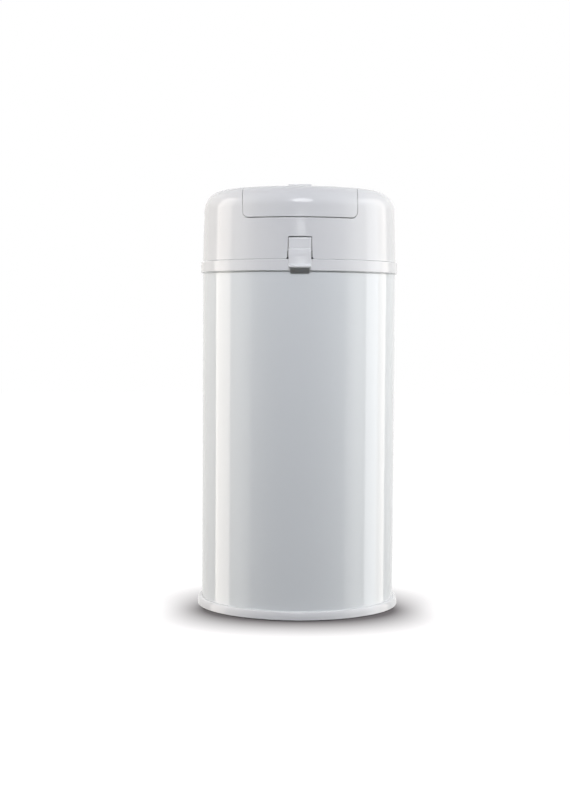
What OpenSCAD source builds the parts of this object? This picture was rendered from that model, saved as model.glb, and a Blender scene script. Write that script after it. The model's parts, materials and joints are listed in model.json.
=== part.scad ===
// Nappy bin: a round steel bin with a hinged plastic head. A flap in the head opens on a rotating
// scoop that takes a nappy and turns over to drop it in the bag, so the bin is never open to the room.
// Millimetres, +Z up, front towards -Y, origin on the floor at the middle of the base.

/* [Bin] */
// Outer diameter of the steel tube
body_d = 260; // [256:1:264]
// Overall height of the bin
bin_h = 560; // [558:1:564]
// Thickness of the steel sheet
steel_t = 0.8; // [0.6:0.1:0.9]
// Thickness of the head's plastic wall
head_wall = 2.6; // [2.2:0.1:2.6]

/* [Base and collar] */
// How far the base ring stands out from the tube
base_lip = 6.3; // [5:0.1:7]
// Height of the base ring's top edge above the floor
base_h = 12.2; // [11:0.1:14]
// Height of the collar's lower edge above the floor
collar_z = 448; // [447:0.5:449]
// Height of the collar band
collar_h = 15.4; // [15:0.1:15.8]
// How far the collar stands out from the tube
collar_lip = 2.7; // [2.5:0.1:2.9]

/* [Flap] */
// Width of the flap
flap_w = 147.6; // [147:0.1:148]
// Height of the flap's front edge above the floor
flap_z = 517.3; // [516:0.1:520]
// Corner radius of the flap's front corners
flap_corner = 8; // [6:0.5:10]
// How far the flap opens, in degrees
flap_open = 100; // [90:1:100]

/* [Latch] */
// Width of the latch lever
latch_w = 29; // [27:0.5:29.5]
// How far the finger lip stands out from the tube
lip_out = 8.2; // [6:0.1:9]

/* [Scoop] */
// Outer radius of the rotating scoop
scoop_r = 54; // [50:1:54]
// Half length of the scoop, along its axle
scoop_half = 60.5; // [58:0.5:60.5]
// Opening of the scoop, as an angle
scoop_mouth = 114; // [100:1:120]
// Gear module of the flap's sector and the scoop's pinion
gear_m = 2; // [2:2]

/* [Hidden] */
$fn = 96;

// colours
white = [0.93, 0.93, 0.94];
warm_white = [0.9, 0.9, 0.88];
grey_rubber = [0.45, 0.46, 0.48];
steel = [0.7, 0.71, 0.73];

// screws, as radii: thread, pilot hole, clearance hole, head, and the head's height
thread_r = 1.15;
pilot_r = 1.2;
clear_r = 1.5;
screw_head_r = 2.8;
screw_head_h = 1.5;

// tube, base and collar
body_r = body_d / 2;
base_z = 1.2;            // underside of the base, above the foot ring's face
base_plate_top = 5;
base_r = body_r + base_lip;
tube_z0 = 5.1;
collar_top = collar_z + collar_h;
collar_r = body_r + collar_lip;
collar_flange_t = 2.8;
tube_z1 = collar_top - collar_flange_t - 0.2;
hem_in = 113;            // inner radius of the tube's turned-in bottom hem
floor_z = tube_z0 + steel_t + 0.1;
base_screw_ring = 118;
base_screw_count = 6;
base_thread_r = 1.65;
base_clear_r = 1.85;
rib_count = 12;
foot_r0 = 124;
foot_r1 = 131;
foot_top = 2.7;
recess_r = 118;          // inner wall of the collar's recess for the bag ring
ledge_r = 109;
ledge_z = collar_z + 2.2;
ledge_t = 2;
skirt_r0 = 126.3;        // the collar's skirt inside the tube
skirt_r1 = 128.9;
skirt_z = collar_z - 11;
lug_x = [16.4, 20.4];    // lugs of the bag ring's pins

// head dome
head_z0 = collar_top + 0.3;
head_r0 = body_r + 0.3;
shoulder_r = 27;
head_side_r = body_r - 1.5;
flat_r = head_side_r - shoulder_r;
crown = 0.6;
shoulder_z = bin_h - crown - shoulder_r;
flange_z = collar_top + 3.2;

// flap and scoop axes, as [y, z]
teeth_flap = 50;
teeth_scoop = 28;
axis_gap = gear_m * (teeth_flap + teeth_scoop) / 2;
scoop_y = 0;
scoop_z = 490;
hinge_y = 44;
hinge_z = scoop_z + sqrt(pow(axis_gap, 2) - pow(hinge_y - scoop_y, 2));
to_scoop = atan2(scoop_z - hinge_z, scoop_y - hinge_y);
scoop_turn = flap_open * teeth_flap / teeth_scoop;
flap_gap = 0.8;
flap_t = 2.6;
deck_inset = 11;
deck_t = 2.5;
tray_half = flap_w / 2 + flap_gap + 0.8;
tray_wall = 2;
tray_rear = 50.6;
cheek_x0 = 67.6;
cheek_x1 = 72.6;
chute_half = 61.2;
chute_y = [-56, 32];
rod_r = 1.6;
pin_r = 2;               // head hinge pin
small_pin_r = 1.5;       // latch pin and bag ring pins
running = 0.06;          // radial clearance of a turning pin
flap_screw_at = [[-45, -70], [45, -70], [-45, 22], [45, 22]];
cheek_screw_y = [4, 28];
cheek_screw_z = bin_h - 5.1;
cheek_top = bin_h - 3.4;

// scoop housing under the deck
housing_y = scoop_r + 3;
housing_top = bin_h - deck_inset - deck_t - 0.6;
housing_x = 67;
housing_z0 = 458;
housing_wall = 2.5;
housing_screw_x = 50;
housing_screw_y = [-63.5, 63.5];
bush_r = 8;
axle_r = 6;

// head hinge
head_hinge = [139, 462.2];
knuckle_r = 5.5;
leaf_half = 30;
bracket_half = 44;
bracket_t = 2.5;
bracket_z = [collar_z + 0.8, collar_z + 8.2];
bracket_screw = [22, collar_z + 6];
leaf_z = [head_z0 + 1.5, head_z0 + 24];
leaf_screw = [18, 480];

// latch, as heights above the floor
latch_pin_at = [-124, 474.2];
notch_half = 15.1;
notch_top = 492;
lever_top = 491;
lip_top = 476.4;
lip_bottom = 452.8;
hook_bottom = 444.8;
hook_top = collar_z - 0.8;
spring_z = 486.2;
lever_back_r = 126.6;
bracket_y = [-114, -112];
bracket_arm = [15.6, 19.4];
bracket_top = 493.2;
bracket_bottom = 469.4;
latch_screw = [25.5, 481.2];

// bag ring
ring_r0 = 104;
ring_r1 = 117.6;
ring_rim_r = 115;
ring_hinge = [113, 453.8];
ring_ear = [9.6, 15.8];

function arc(c, r, a0, a1, n) = [for (i = [0:n]) let (a = a0 + (a1 - a0) * i / n) c + r * [cos(a), sin(a)]];

// Outline of the head's dome, drawn in from its outer face by inset, from height z0 up.
head_taper = (head_r0 - head_side_r) / (shoulder_z - head_z0);
function dome(inset, z0) = concat(
    [[0, z0], [head_r0 - head_taper * (z0 - head_z0) - inset, z0]],
    arc([flat_r, shoulder_z], shoulder_r - inset, 0, 90, 14),
    [for (k = [3:-1:0]) [flat_r * k / 4, bin_h - inset - crown * pow(k / 4, 2)]]
);

function box2(x0, y0, x1, y1) = [[x0, y0], [x1, y0], [x1, y1], [x0, y1]];

function rounded_box(x0, y0, x1, y1, r) = concat(
    arc([x0 + r, y0 + r], r, 180, 270, 6), arc([x1 - r, y0 + r], r, 270, 360, 6),
    arc([x1 - r, y1 - r], r, 0, 90, 6), arc([x0 + r, y1 - r], r, 90, 180, 6)
);

// Involute gear teeth. slack is the backlash taken off a tooth at the pitch circle.
slack = 0.3;
pressure = 20;
function involute(a) = tan(a) * 180 / PI - a;
function half_tooth(z, r) = let (pitch = gear_m * z / 2, base = pitch * cos(pressure))
    90 / z - slack / 2 / pitch * 180 / PI + involute(pressure)
    - (r > base ? involute(acos(base / r)) : 0);
function tooth(z, at) = let (
        pitch = gear_m * z / 2, root = pitch - 1.2 * gear_m, tip = pitch + gear_m,
        radii = [for (k = [0:5]) root + (tip - root) * k / 5]
    ) concat(
        [for (r = radii) r * [cos(at - half_tooth(z, r)), sin(at - half_tooth(z, r))]],
        [for (k = [5:-1:0]) let (r = radii[k]) r * [cos(at + half_tooth(z, r)), sin(at + half_tooth(z, r))]]
    );
function teeth(z, at, first, last) = [for (k = [first:last]) each tooth(z, at + 360 / z * k)];

module revolve(points) rotate_extrude($fn = 180) polygon(points);

module ring(r0, r1, z0, z1) revolve(box2(r0, z0, r1, z1));

module along_x(x0, x1) translate([x0, 0, 0]) rotate([90, 0, 90]) linear_extrude(x1 - x0) children();

module along_y(y0, y1) translate([0, y1, 0]) rotate([90, 0, 0]) linear_extrude(y1 - y0) children();

module rod_x(at, r, x0, x1) along_x(x0, x1) translate(at) circle(r);

module rod_y(x, z, r, y0, y1) along_y(y0, y1) translate([x, z]) circle(r);

module rod_z(x, y, r, z0, z1) translate([x, y, z0]) cylinder(r = r, h = z1 - z0);

module block(x0, x1, y0, y1, z0, z1) translate([x0, y0, z0]) cube([x1 - x0, y1 - y0, z1 - z0]);

module both_sides() for (s = [0, 1]) mirror([s, 0, 0]) children();

module dome_solid(inset, z0) revolve(dome(inset, z0));

// The skin of the dome between two insets, above z0.
module dome_skin(outer, inner, z0) difference() {
    dome_solid(outer, z0);
    dome_solid(inner, z0 - 1);
}

// Everything above the flap's front edge and in front of its hinge, as wide as half.
module flap_space(half, z0, corner, y1) along_y(-140, y1)
    polygon(rounded_box(-half, z0, half, bin_h + 30, corner));

module at_base_screws() for (k = [0:base_screw_count - 1])
    rotate([0, 0, 360 / base_screw_count * k]) translate([base_screw_ring, 0, 0]) children();

module pan_screw(head_r, head_h, shaft_r, shaft_h) {
    cylinder(r = head_r, h = head_h);
    translate([0, 0, head_h]) cylinder(r = shaft_r, h = shaft_h);
}

// ---- bin ----

module base_moulding() color(white) difference() {
    revolve([
        [0, base_z], [base_r - 1.4, base_z], [base_r - 0.5, base_z + 0.6], [base_r, base_z + 1.8],
        [base_r, base_h - 3.4], [base_r - 0.5, base_h - 1.6], [base_r - 1.6, base_h - 0.5],
        [base_r - 3.2, base_h], [body_r + 0.2, base_h], [body_r + 0.2, base_plate_top], [0, base_plate_top],
    ]);
    // pockets between the radial ribs of the underside
    for (k = [0:rib_count - 1]) rotate([0, 0, 360 / rib_count * k]) intersection() {
        ring(24, 108, 0, 3.4);
        translate([0, 0, -1]) linear_extrude(5) polygon([[6, 1.2], [130, 1.2], [130, 70.4], [6, 3.2]]);
    }
    ring(foot_r0 - 0.2, foot_r1 + 0.2, 0, foot_top + 0.1);
    at_base_screws() {
        rod_z(0, 0, 4.2, 0, 3.2);
        rod_z(0, 0, base_clear_r, 0, 8);
    }
}

module foot_ring() color(grey_rubber) ring(foot_r0, foot_r1, 0, foot_top);

module floor_plate() color(warm_white) difference() {
    union() {
        ring(0, body_r - steel_t - 0.4, floor_z, floor_z + 2.2);
        ring(60, 62.4, floor_z + 2.2, floor_z + 4);
        at_base_screws() rod_z(0, 0, 5, floor_z + 2.2, floor_z + 10);
    }
    at_base_screws() rod_z(0, 0, base_thread_r + 0.05, floor_z - 1, floor_z + 9);
}

module base_screws() color(steel) at_base_screws()
    translate([0, 0, 1.4]) pan_screw(3.8, 1.7, base_thread_r, 11);

module body_tube() color(white) difference() {
    union() {
        ring(body_r - steel_t, body_r, tube_z0, tube_z1);
        ring(hem_in, body_r, tube_z0, tube_z0 + steel_t);
        // the weld down the back
        intersection() {
            ring(body_r - 0.1, body_r + 0.25, base_h + 1, collar_z - 1);
            block(-1.6, 1.6, 100, 140, base_h + 1, collar_z - 1);
        }
    }
    at_base_screws() rod_z(0, 0, base_clear_r, 0, 8);
}

module collar() color(white) difference() {
    union() {
        revolve([
            [body_r + 0.2, collar_z + 0.6], [body_r + 0.8, collar_z], [collar_r - 0.6, collar_z],
            [collar_r, collar_z + 0.6], [collar_r, collar_top - 0.6], [collar_r - 0.6, collar_top],
            [recess_r, collar_top], [recess_r, ledge_z], [ledge_r, ledge_z], [ledge_r, ledge_z - ledge_t],
            [recess_r + 2.2, ledge_z - ledge_t], [recess_r + 2.2, collar_top - collar_flange_t],
            [skirt_r0, collar_top - collar_flange_t], [skirt_r0, skirt_z], [skirt_r1, skirt_z],
            [skirt_r1, collar_top - collar_flange_t], [body_r + 0.2, collar_top - collar_flange_t],
        ]);
        // lugs that carry the bag ring's pins
        both_sides() block(lug_x[0], lug_x[1], ring_hinge[0] - 3.5, recess_r - 0.5,
            ledge_z - 0.1, ring_hinge[1] + 3.2);
    }
    rod_x(ring_hinge, small_pin_r + 0.05, -30, 30);
    both_sides() rod_y(bracket_screw[0], bracket_screw[1], pilot_r, 120, 140);
}

module hinge_bracket() color(white) difference() {
    union() {
        intersection() {
            ring(collar_r + 0.1, collar_r + 0.1 + bracket_t, bracket_z[0], bracket_z[1]);
            block(-bracket_half, bracket_half, 100, 140, 400, 500);
        }
        both_sides() {
            rod_x(head_hinge, knuckle_r, leaf_half + 0.5, bracket_half);
            along_x(leaf_half + 0.5, bracket_half) polygon([
                [124, bracket_z[0]], [135, bracket_z[0]], head_hinge + [0.7, -0.7] * knuckle_r,
                head_hinge, [134.2, head_hinge[1] - 0.8], [124, head_hinge[1] - 0.8],
            ]);
        }
    }
    translate([0, 0, 400]) cylinder(r = collar_r + 0.1, h = 100);
    rod_x(head_hinge, pin_r + running, -50, 50);
    both_sides() rod_y(bracket_screw[0], bracket_screw[1], clear_r, 120, 150);
}

module hinge_bracket_screws() color(steel) both_sides()
    translate([bracket_screw[0], 135.7, bracket_screw[1]]) rotate([90, 0, 0])
        pan_screw(screw_head_r, screw_head_h, thread_r, 5);

module head_hinge_pin() color(steel) rod_x(head_hinge, pin_r, -bracket_half - 0.5, bracket_half + 0.5);

module bag_ring_pins() color(steel) both_sides() rod_x(ring_hinge, small_pin_r, 9.8, lug_x[1] + 0.2);

module bag_ring() color(warm_white) difference() {
    union() {
        difference() {
            // the rim narrows towards the hinge, so that it swings up clear of the recess
            intersection() {
                translate([0, ring_rim_r - ring_r1, 400]) cylinder(r = ring_rim_r, h = 100, $fn = 180);
                revolve([
                    [ring_r0, ledge_z - 11], [ring_r0 + 2.2, ledge_z - 11], [ring_r0 + 2.2, ledge_z + 0.3],
                    [ring_r1 - 0.6, ledge_z + 0.3], [ring_r1, ledge_z + 0.9], [ring_r1, ledge_z + 2.2],
                    [ring_r1 - 0.8, ledge_z + 3], [ring_r0, ledge_z + 3],
                ]);
            }
            block(-60, 60, ring_hinge[0] - 0.5, 130, 400, 500);
            both_sides() block(lug_x[0] - 0.5, lug_x[1] + 0.5, ring_hinge[0] - 5, 130, 400, 500);
        }
        both_sides() {
            rod_x(ring_hinge, 3, ring_ear[0], ring_ear[1]);
            block(ring_ear[0], ring_ear[1], ring_hinge[0] - 6, ring_hinge[0], ledge_z + 1.2, ledge_z + 3.6);
        }
    }
    rod_x(ring_hinge, small_pin_r + running, -16, 16);
}

// ---- head ----

deck_post_at = [[-88, -45], [88, -45], [-88, 25], [88, 25], [-35, 66], [35, 66]];

module head_shell() color(white) difference() {
    union() {
        difference() {
            dome_skin(0, head_wall, head_z0);
            flap_space(flap_w / 2 + flap_gap, flap_z - flap_gap, flap_corner + flap_gap, tray_rear);
        }
        // inner flange over the head gasket
        difference() {
            ring(118.5, head_r0 - head_wall + 0.1, flange_z, flange_z + 2.2);
            block(-20, 20, -140, -124, flange_z - 1, flange_z + 4);
        }
        for (p = deck_post_at) intersection() {
            rod_z(p[0], p[1], 4, bin_h - 7.6, bin_h);
            dome_solid(head_wall - 0.3, 500);
        }
        both_sides() intersection() {
            union() {
                rod_y(latch_screw[0], latch_screw[1], 3.6, -130, -121.6);
                rod_y(leaf_screw[0], leaf_screw[1], 3.6, 123, 130);
            }
            dome_solid(head_wall - 0.3, 460);
        }
    }
    along_y(-140, -100) polygon([
        [-notch_half - 1.6, head_z0 - 1], [notch_half + 1.6, head_z0 - 1], [notch_half + 0.6, head_z0 + 1.6],
        [notch_half, head_z0 + 3], [notch_half, notch_top], [-notch_half, notch_top],
        [-notch_half, head_z0 + 3], [-notch_half - 0.6, head_z0 + 1.6],
    ]);
    for (p = deck_post_at) rod_z(p[0], p[1], pilot_r, bin_h - 8, bin_h - 1.6);
    both_sides() {
        rod_y(latch_screw[0], latch_screw[1], pilot_r, -126.2, -120);
        rod_y(leaf_screw[0], leaf_screw[1], pilot_r, 120, 140);
    }
}

module head_gasket() color(grey_rubber)
    revolve([
        [119.4, collar_top + 0.6], [120, collar_top + 0.06], [123, collar_top + 0.06],
        [123.6, collar_top + 0.6], [123.6, flange_z - 0.06], [119.4, flange_z - 0.06],
    ]);

module hinge_leaf() color(white) difference() {
    union() {
        intersection() {
            ring(head_r0 + 0.1, head_r0 + 0.1 + bracket_t, leaf_z[0], leaf_z[1]);
            along_y(100, 150) polygon(rounded_box(-leaf_half, leaf_z[0], leaf_half, leaf_z[1], 5));
        }
        rod_x(head_hinge, knuckle_r, -leaf_half, leaf_half);
        along_x(-leaf_half, leaf_half) polygon([
            [129, leaf_z[0]], [134.5, leaf_z[0]], head_hinge,
            [head_hinge[0] + 4.9, head_hinge[1] + 2.5], [136, head_z0 + 13], [129, head_z0 + 13],
        ]);
    }
    translate([0, 0, head_z0]) cylinder(r = head_r0 + 0.1, h = 40);
    rod_x(head_hinge, pin_r + running, -50, 50);
    both_sides() {
        rod_y(leaf_screw[0], leaf_screw[1], clear_r, 120, 150);
        rod_y(leaf_screw[0], leaf_screw[1], screw_head_r + 0.3, 132.9, 150);
    }
}

module hinge_leaf_screws() color(steel) both_sides()
    translate([leaf_screw[0], 134.3, leaf_screw[1]]) rotate([90, 0, 0])
        pan_screw(screw_head_r, screw_head_h, thread_r, 6);

// A screw ear at a point, with the outline of the arm that joins it to the tray's wall.
module deck_ear(at, arm) difference() {
    linear_extrude(2.4) {
        translate(at) circle(5);
        polygon(arm);
    }
    rod_z(at[0], at[1], clear_r, -1, 4);
}

module lid_deck() color(warm_white) difference() {
    union() {
        intersection() {
            dome_skin(deck_inset, deck_inset + deck_t, 500);
            union() {
                block(-tray_half - 1, tray_half + 1, -140, tray_rear + 1, 510, bin_h);
                both_sides() block(42, 58, 0, housing_y + 10, 510, bin_h);
            }
        }
        intersection() {
            dome_skin(head_wall + 0.15, deck_inset + deck_t, 500);
            union() {
                both_sides() block(tray_half, tray_half + tray_wall, -140, tray_rear + 2, 510, bin_h);
                block(-tray_half - 1, tray_half + 1, -140, 0, 510, 512);
                block(-tray_half - 1, tray_half + 1, tray_rear, tray_rear + 2, 540, bin_h);
            }
        }
        // bosses for the flap's hinge rod
        both_sides() block(tray_half, tray_half + 5.6, hinge_y - 5, hinge_y + 5, bin_h - 13, bin_h - 3.4);
        translate([0, 0, bin_h - 10.2]) {
            both_sides() {
                deck_ear([88, -45], box2(tray_half + 1, -49, 88, -41));
                deck_ear([88, 25], box2(tray_half + 1, 21, 88, 29));
                deck_ear([35, 66], box2(31, tray_rear + 1, 39, 66));
            }
        }
    }
    translate([0, 0, 530]) linear_extrude(25)
        polygon(rounded_box(-chute_half, chute_y[0], chute_half, chute_y[1], 8));
    both_sides() {
        block(cheek_x0 - 0.7, cheek_x1 + 0.7, -10.5, 60, 540, hinge_z - 1);
        // pilot holes for the housing's screws
        for (y = housing_screw_y) rod_z(housing_screw_x, y, pilot_r, 530, housing_top + 2);
    }
    rod_x([hinge_y, hinge_z], rod_r + 0.04, -90, 90);
}

module deck_screws() color(steel) for (p = deck_post_at)
    translate([p[0], p[1], bin_h - 11.8]) pan_screw(screw_head_r, screw_head_h, thread_r, 7);

module scoop_housing() color(warm_white) difference() {
    union() {
        block(-housing_x, housing_x, -housing_y - housing_wall, housing_y + housing_wall,
            housing_z0, housing_top);
        block(-58, 58, -housing_y - 10, housing_y + 10, housing_top - 2.6, housing_top);
    }
    block(housing_wall - housing_x, housing_x - housing_wall, -housing_y, housing_y, 450, housing_top + 1);
    both_sides() {
        rod_x([scoop_y, scoop_z], bush_r, 60, 70);
        for (y = housing_screw_y) rod_z(housing_screw_x, y, clear_r, housing_top - 5, housing_top + 1);
    }
}

module housing_screws() color(steel) both_sides() for (y = housing_screw_y)
    translate([housing_screw_x, y, housing_top - 4.2]) pan_screw(screw_head_r, screw_head_h, thread_r, 4.6);

module scoop_wipers() color(grey_rubber) for (s = [0, 1]) mirror([0, s, 0])
    along_x(-60, 60) polygon([
        [-housing_y + 0.05, scoop_z - 4], [-housing_y + 0.05, scoop_z + 4], [-housing_y + 1.2, scoop_z + 4],
        [-scoop_r - 0.2, scoop_z + 1], [-scoop_r - 0.2, scoop_z - 1], [-housing_y + 1.2, scoop_z - 4],
    ]);

module scoop_bushes() color(grey_rubber) both_sides() difference() {
    union() {
        rod_x([scoop_y, scoop_z], bush_r - 0.05, 64, housing_x + 0.2);
        rod_x([scoop_y, scoop_z], bush_r + 2, 63, 64.4);
    }
    rod_x([scoop_y, scoop_z], axle_r + running, 60, 70);
}

module flap_hinge_rod() color(steel)
    rod_x([hinge_y, hinge_z], rod_r, -tray_half - 5.4, tray_half + 5.4);

module latch_bracket() color(warm_white) difference() {
    union() {
        both_sides() {
            block(bracket_arm[0], bracket_arm[1], -124.9, bracket_y[1], bracket_bottom, bracket_top);
            block(bracket_arm[1] - 0.1, 31, -121.5, -119, 473, 489.5);
        }
        block(-bracket_arm[1], bracket_arm[1], bracket_y[0], bracket_y[1], bracket_bottom, bracket_top);
        rod_y(0, spring_z, 1.9, bracket_y[0] - 3, bracket_y[0] + 0.1);
    }
    rod_x(latch_pin_at, small_pin_r + 0.05, -25, 25);
    both_sides() rod_y(latch_screw[0], latch_screw[1], clear_r, -125, -110);
}

module latch_bracket_screws() color(steel) both_sides()
    translate([latch_screw[0], -117.4, latch_screw[1]]) rotate([90, 0, 0])
        pan_screw(screw_head_r, screw_head_h, thread_r, 6.5);

module latch_pin() color(steel)
    rod_x(latch_pin_at, small_pin_r, -bracket_arm[1] - 0.4, bracket_arm[1] + 0.4);

coil_turns = 5;
coil_r = 2.9;
wire_r = 0.35;
spring_y = [-126.2, bracket_y[0] - 0.5];

// One turn of the coil as a closed ring, so the spring is a stack of rings joined by a side wire.
module latch_spring() color(steel) {
    coils = [spring_y[0] + wire_r, spring_y[1] - wire_r];
    for (k = [0:coil_turns]) translate([0, coils[0] + (coils[1] - coils[0]) * k / coil_turns, spring_z])
        rotate([90, 0, 0]) rotate_extrude($fn = 24) translate([coil_r, 0]) circle(wire_r, $fn = 14);
    rod_y(coil_r, spring_z, wire_r, coils[0], coils[1]);
}

// ---- latch ----

module latch_lever() color(white) difference() {
    union() {
        intersection() {
            revolve([
                [lever_back_r, lever_top], [head_r0 - 0.3, lever_top], [head_r0 - 0.1, lever_top - 0.6],
                [head_r0 - 0.1, lip_top], [head_r0 + 1.2, lip_top - 0.5],
                [body_r + lip_out, lip_bottom + 1.4], [body_r + lip_out - 0.4, lip_bottom + 0.3],
                [body_r + lip_out - 1.4, lip_bottom - 0.4], [body_r + 3.6, hook_bottom + 0.4],
                [body_r + 2.8, hook_bottom], [body_r + 1, hook_bottom], [body_r + 1, hook_top],
                [collar_r + 0.6, hook_top], [collar_r + 0.6, collar_top + 1.2], [124.8, collar_top + 1.2],
                [124.8, latch_pin_at[1] + 2], [lever_back_r, latch_pin_at[1] + 4],
            ]);
            block(-latch_w / 2, latch_w / 2, -150, -100, 440, 500);
        }
        rod_x(latch_pin_at, 4, -latch_w / 2, latch_w / 2);
    }
    rod_x(latch_pin_at, small_pin_r + running, -25, 25);
}

// ---- flap ----

module flap_cover() color(white) difference() {
    union() {
        intersection() {
            dome_skin(0, flap_t, 500);
            flap_space(flap_w / 2, flap_z, flap_corner, hinge_y + 8);
            union() {
                block(-80, 80, -140, hinge_y, 500, bin_h + 1);
                rod_x([hinge_y, hinge_z], bin_h - hinge_z - 0.1, -80, 80);
            }
        }
        for (p = flap_screw_at) intersection() {
            rod_z(p[0], p[1], 3.4, bin_h - 5, bin_h - 1);
            dome_solid(flap_t - 0.4, 500);
        }
        // thumb ridge on the front of the top
        intersection() {
            rod_x([-flat_r + 6, bin_h - 6.6], 6.8, -15, 15);
            block(-15, 15, -140, 0, bin_h - 2, bin_h + 2);
        }
    }
    for (p = flap_screw_at) rod_z(p[0], p[1], pilot_r, bin_h - 6, bin_h - 1.4);
}

module flap_liner() color(warm_white) difference() {
    union() {
        intersection() {
            dome_skin(5.1, 6.9, 500);
            flap_space(cheek_x0 - 0.4, flap_z + 4, flap_corner, hinge_y);
        }
        both_sides() block(62, cheek_x0 - 0.4, -6, 40, bin_h - 6.9, cheek_top);
        intersection() {
            rod_x([hinge_y, hinge_z], 5, -cheek_x0 + 0.4, cheek_x0 - 0.4);
            block(-80, 80, 0, 60, 540, bin_h - 3.2);
        }
    }
    for (p = flap_screw_at) rod_z(p[0], p[1], clear_r, bin_h - 10, bin_h - 4);
    for (y = cheek_screw_y) both_sides() rod_x([y, cheek_screw_z], 0.95, 61, 70);
    rod_x([hinge_y, hinge_z], rod_r + running, -80, 80);
}

module flap_gasket() color(grey_rubber) translate([0, 0, bin_h - deck_inset + 0.08])
    linear_extrude(deck_inset - 7.68) difference() {
        polygon(rounded_box(-66.4, -61, 66.4, 38.4, 9));
        polygon(rounded_box(-62.4, -57, 62.4, 34.4, 6));
    }

module flap_screws() color(steel) for (p = flap_screw_at)
    translate([p[0], p[1], bin_h - 8.8]) pan_screw(screw_head_r, 1.4, thread_r, 5.4);

first_tooth = -2;
last_tooth = 15;
cheek_root = gear_m * teeth_flap / 2 - 1.2 * gear_m;
cheek_end = to_scoop + 360 / teeth_flap * (last_tooth + 0.3);

// Outline of a cheek without teeth, about the flap's hinge axis.
module cheek_outline(radius, from) {
    polygon(concat([[0, 0]], arc([0, 0], radius, -180, from, 16)));
    circle(6);
    polygon(box2(-cheek_root, -0.1, 0, cheek_top - hinge_z));
}

module cheek(radius, from) difference() {
    union() {
        children();
        along_x(cheek_x0, cheek_x1) translate([hinge_y, hinge_z]) intersection() {
            cheek_outline(radius, from);
            polygon(box2(-60, -60, 60, cheek_top - hinge_z));
        }
    }
    rod_x([hinge_y, hinge_z], rod_r + running, 60, 80);
    for (y = cheek_screw_y) {
        rod_x([y, cheek_screw_z], 1.1, 60, 80);
        rod_x([y, cheek_screw_z], 1.7, cheek_x1 - 1, 80);
    }
}

module flap_gear_cheek() color(warm_white)
    cheek(cheek_root, to_scoop + 360 / teeth_flap * (first_tooth - 0.3))
        along_x(cheek_x0, cheek_x1) translate([hinge_y, hinge_z])
            polygon(concat([[0, 0]], teeth(teeth_flap, to_scoop, first_tooth, last_tooth)));

module flap_plain_cheek() color(warm_white) mirror([1, 0, 0]) cheek(cheek_root, cheek_end);

module cheek_screws() color(steel) both_sides() for (y = cheek_screw_y)
    translate([cheek_x1 - 0.1, y, cheek_screw_z]) rotate([0, -90, 0]) pan_screw(1.6, 0.8, 0.9, 8);

// ---- scoop ----

module scoop_shell() color(warm_white) along_x(-scoop_half, scoop_half) translate([scoop_y, scoop_z])
    difference() {
        circle(scoop_r);
        circle(scoop_r - 2.5);
        rotate(90 - scoop_turn) polygon(concat(
            [[0, 0]], arc([0, 0], 2 * scoop_r, -scoop_mouth / 2, scoop_mouth / 2, 6)));
    }

module scoop_ends() color(warm_white) difference() {
    both_sides() {
        rod_x([scoop_y, scoop_z], scoop_r, scoop_half, scoop_half + 2);
        rod_x([scoop_y, scoop_z], axle_r, scoop_half + 1.9, cheek_x1 + 0.4);
    }
    rod_x([scoop_y, scoop_z], 1.6, scoop_half + 2.5, 80);
}

module scoop_pinion() color(warm_white) difference() {
    along_x(cheek_x0, cheek_x1) translate([scoop_y, scoop_z])
        polygon(teeth(teeth_scoop, to_scoop + 180 + 180 / teeth_scoop, 0, teeth_scoop - 1));
    rod_x([scoop_y, scoop_z], axle_r + 0.02, 60, 80);
}

module pinion_screw() color(steel)
    translate([cheek_x1 + 2, scoop_y, scoop_z]) rotate([0, -90, 0]) pan_screw(8.5, 1.5, 1.6, 9);

base_moulding();
foot_ring();
floor_plate();
base_screws();
body_tube();
collar();
hinge_bracket();
hinge_bracket_screws();
head_hinge_pin();
bag_ring_pins();
bag_ring();
head_shell();
head_gasket();
hinge_leaf();
hinge_leaf_screws();
lid_deck();
deck_screws();
scoop_housing();
housing_screws();
scoop_wipers();
scoop_bushes();
flap_hinge_rod();
latch_bracket();
latch_bracket_screws();
latch_pin();
latch_spring();
latch_lever();
flap_cover();
flap_liner();
flap_gasket();
flap_screws();
flap_gear_cheek();
flap_plain_cheek();
cheek_screws();
scoop_shell();
scoop_ends();
scoop_pinion();
pinion_screw();
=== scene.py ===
"""Models a round steel nappy bin around its packed frame, with its finishes and its studio.

Outlines are written in millimetres. The modelling helpers turn them into metres, in the frame's own
axes: +Z up, the front towards -Y, the origin on the floor in the middle of the bin.
"""

import json
import math

import bmesh
import bpy
from bpy.props import FloatProperty, FloatVectorProperty, PointerProperty
from mathutils import Matrix, Vector

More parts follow.
